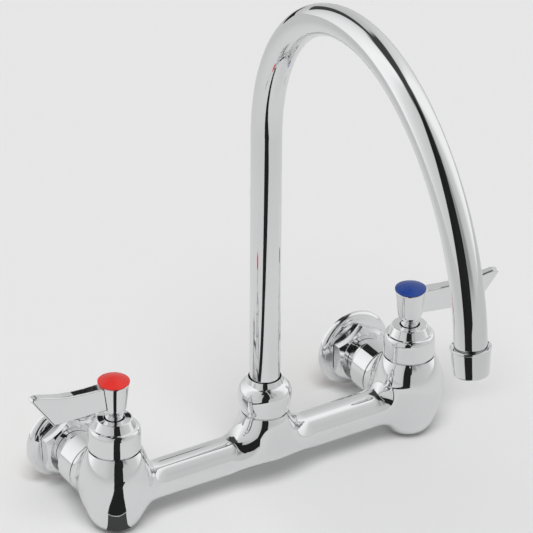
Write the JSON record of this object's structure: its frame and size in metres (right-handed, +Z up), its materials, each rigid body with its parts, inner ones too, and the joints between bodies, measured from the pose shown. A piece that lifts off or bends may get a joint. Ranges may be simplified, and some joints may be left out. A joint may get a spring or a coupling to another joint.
{
  "type": "wall faucet",
  "caption": "Wall-mounted sink faucet with hot and cold lever handles, ceramic disc valves and a swivelling gooseneck spout.",
  "frame": {"origin": "on the finished wall face, midway between the centres of the hot and cold inlets", "axes": "+X from the hot valve towards the cold valve, +Y into the wall, +Z up; the spout reaches out along -Y"},
  "size_m": [0.3107, 0.3094, 0.3502],
  "materials": {
    "chrome": "polished chrome plate",
    "brass": "machined brass",
    "steel": "stainless, plain",
    "rubber": "matt black",
    "ceramic": "lapped alumina",
    "nylon": "moulded",
    "red_button": "glossy red",
    "blue_button": "glossy blue"
  },
  "bodies": {
    "body": {"faucet_body": "chrome", "spout_nut": "chrome", "spout_bearing_washer": "nylon", "spout_retaining_ring": "nylon", "hot_inlet_shank": "chrome", "hot_union_nut": "chrome", "hot_union_washer": "rubber", "hot_wall_coupling": "brass", "hot_wall_flange": "chrome", "hot_seat_seal": "rubber", "hot_fixed_disc": "ceramic", "hot_cartridge_body": "brass", "hot_bonnet": "chrome", "cold_inlet_shank": "chrome", "cold_union_nut": "chrome", "cold_union_washer": "rubber", "cold_wall_coupling": "brass", "cold_wall_flange": "chrome", "cold_seat_seal": "rubber", "cold_fixed_disc": "ceramic", "cold_cartridge_body": "brass", "cold_bonnet": "chrome"},
    "hot_handle": {"hot_moving_disc": "ceramic", "hot_stem": "brass", "hot_stem_o_ring": "rubber", "hot_stem_clip": "steel", "hot_lever": "chrome", "hot_handle_screw": "steel", "hot_index_button": "red_button"},
    "cold_handle": {"cold_moving_disc": "ceramic", "cold_stem": "brass", "cold_stem_o_ring": "rubber", "cold_stem_clip": "steel", "cold_lever": "chrome", "cold_handle_screw": "steel", "cold_index_button": "blue_button"},
    "spout": {"spout_ferrule": "brass", "spout_o_ring_lower": "rubber", "spout_o_ring_upper": "rubber", "spout_tube": "chrome", "outlet_nipple": "brass", "outlet_collar": "chrome", "aerator_washer": "rubber", "aerator_insert": "nylon", "aerator_screen": "steel"}
  },
  "joints": [
    {"name": "spout_swivel", "type": "hinge", "parent": "body", "child": "spout", "pos_m": [0, -0.062, 0.0305], "axis": [0, 0, 1], "range_deg": [-85, 95]},
    {"name": "hot_lever_turn", "type": "hinge", "parent": "body", "child": "hot_handle", "pos_m": [-0.1016, -0.062, 0.0465], "axis": [0, 0, 1], "range_deg": [0, 90]},
    {"name": "cold_lever_turn", "type": "hinge", "parent": "body", "child": "cold_handle", "pos_m": [0.1016, -0.062, 0.0465], "axis": [0, 0, 1], "range_deg": [-75, 15]}
  ]
}
